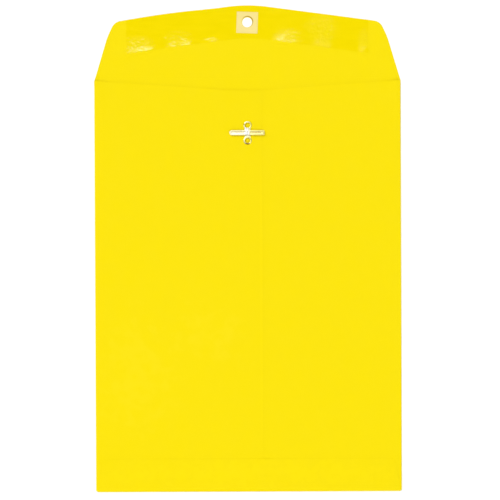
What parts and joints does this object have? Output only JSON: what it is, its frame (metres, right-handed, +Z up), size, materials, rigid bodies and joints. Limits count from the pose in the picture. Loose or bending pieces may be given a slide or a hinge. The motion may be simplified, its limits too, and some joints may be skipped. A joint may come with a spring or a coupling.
{
  "type": "clasp envelope",
  "caption": "Open-end paper catalogue envelope with a gummed seal flap, a reinforced flap hole and a metal clasp whose prongs bend over the closed flap.",
  "frame": {"origin": "under the middle of the open outline (pocket and open flap together), on the surface that the envelope lies on", "axes": "+Y from the bottom fold towards the open seal flap, +Z up through the clasp side, +X to the right seen from the clasp side"},
  "size_m": [0.227, 0.3606, 0.0027],
  "materials": {
    "paper": "smooth uncoated yellow paper",
    "patch": "stiff cream paper",
    "gum": "dried gum, glossy",
    "glue": "dried paste",
    "clasp": "tinned sheet, drawn and pressed"
  },
  "bodies": {
    "pocket": {"front_panel": "paper", "left_fold": "paper", "right_fold": "paper", "bottom_fold": "paper", "left_panel": "paper", "right_panel": "paper", "bottom_flap": "paper", "seam_glue": "glue", "bottom_glue": "glue", "clasp_plate": "clasp"},
    "flap": {"seal_flap": "paper", "gum_band": "gum", "hole_patch": "patch"},
    "left_prong": {"left_prong": "clasp"},
    "right_prong": {"right_prong": "clasp"}
  },
  "joints": [
    {"name": "flap_fold", "type": "hinge", "parent": "pocket", "child": "flap", "pos_m": [0, 0.12685, 0.00109], "axis": [1, 0, 0], "range_deg": [0, 180]},
    {"name": "left_prong_bend", "type": "hinge", "parent": "pocket", "child": "left_prong", "pos_m": [-0.0003, 0.08585, 0.00261], "axis": [0, 1, 0], "range_deg": [0, 90]},
    {"name": "right_prong_bend", "type": "hinge", "parent": "pocket", "child": "right_prong", "pos_m": [0.0003, 0.08585, 0.00261], "axis": [0, -1, 0], "range_deg": [0, 90]}
  ]
}
